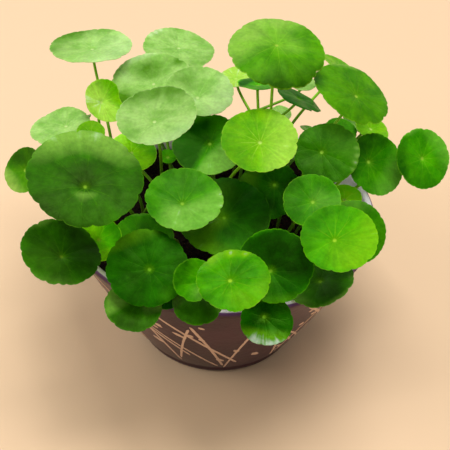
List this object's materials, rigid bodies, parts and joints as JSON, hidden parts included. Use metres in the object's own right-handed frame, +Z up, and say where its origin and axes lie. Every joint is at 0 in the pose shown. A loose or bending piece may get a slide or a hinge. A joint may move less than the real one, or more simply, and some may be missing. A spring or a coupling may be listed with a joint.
{
  "type": "potted pennywort",
  "caption": "House plant in a round flared ceramic pot: scalloped round pennywort leaves on thin stems that rise from dark soil.",
  "frame": {"origin": "middle of the pot's flat base, on the surface that it stands on", "axes": "+Z up, -Y towards the front, +X to the right as seen from the front"},
  "size_m": [0.1906, 0.1857, 0.1474],
  "materials": {
    "pot_glaze": "satin purple-brown glaze with thin tan brush strokes, white-lavender glaze inside",
    "soil_peat": "moist dark peat",
    "leaf_pale": "satin pale green leaf",
    "leaf_fresh": "satin fresh green leaf",
    "leaf_mid": "satin mid green leaf",
    "leaf_deep": "glossy deep green leaf"
  },
  "bodies": {
    "root": {"leaf_back_01": "leaf_pale", "leaf_back_02": "leaf_pale", "leaf_back_03": "leaf_pale", "leaf_back_04": "leaf_pale", "leaf_back_05": "leaf_pale", "leaf_back_06": "leaf_pale", "leaf_back_07": "leaf_pale", "leaf_back_08": "leaf_pale", "leaf_back_09": "leaf_pale", "leaf_back_10": "leaf_pale", "leaf_back_11": "leaf_pale", "leaf_back_12": "leaf_pale", "leaf_front_01": "leaf_deep", "leaf_front_02": "leaf_deep", "leaf_front_03": "leaf_deep", "leaf_front_04": "leaf_deep", "leaf_front_05": "leaf_deep", "leaf_front_06": "leaf_deep", "leaf_front_07": "leaf_deep", "leaf_left_01": "leaf_deep", "leaf_left_02": "leaf_deep", "leaf_left_03": "leaf_deep", "leaf_left_04": "leaf_deep", "leaf_left_05": "leaf_deep", "leaf_left_06": "leaf_deep", "leaf_left_07": "leaf_deep", "leaf_left_08": "leaf_deep", "leaf_left_09": "leaf_deep", "leaf_mid_01": "leaf_mid", "leaf_mid_02": "leaf_mid", "leaf_mid_03": "leaf_mid", "leaf_mid_04": "leaf_mid", "leaf_mid_05": "leaf_mid", "leaf_mid_06": "leaf_mid", "leaf_mid_07": "leaf_mid", "leaf_mid_08": "leaf_mid", "leaf_rear_01": "leaf_mid", "leaf_rear_02": "leaf_mid", "leaf_rear_03": "leaf_mid", "leaf_rear_04": "leaf_mid", "leaf_rear_05": "leaf_mid", "leaf_rear_06": "leaf_mid", "leaf_rear_07": "leaf_mid", "leaf_rear_08": "leaf_mid", "leaf_rear_09": "leaf_mid", "leaf_rear_10": "leaf_mid", "leaf_right_01": "leaf_fresh", "leaf_right_02": "leaf_fresh", "leaf_right_03": "leaf_fresh", "leaf_right_04": "leaf_fresh", "leaf_right_05": "leaf_fresh", "leaf_right_06": "leaf_fresh", "leaf_right_07": "leaf_fresh", "leaf_right_08": "leaf_fresh", "leaf_right_09": "leaf_fresh", "pot": "pot_glaze", "soil": "soil_peat"}
  },
  "joints": []
}
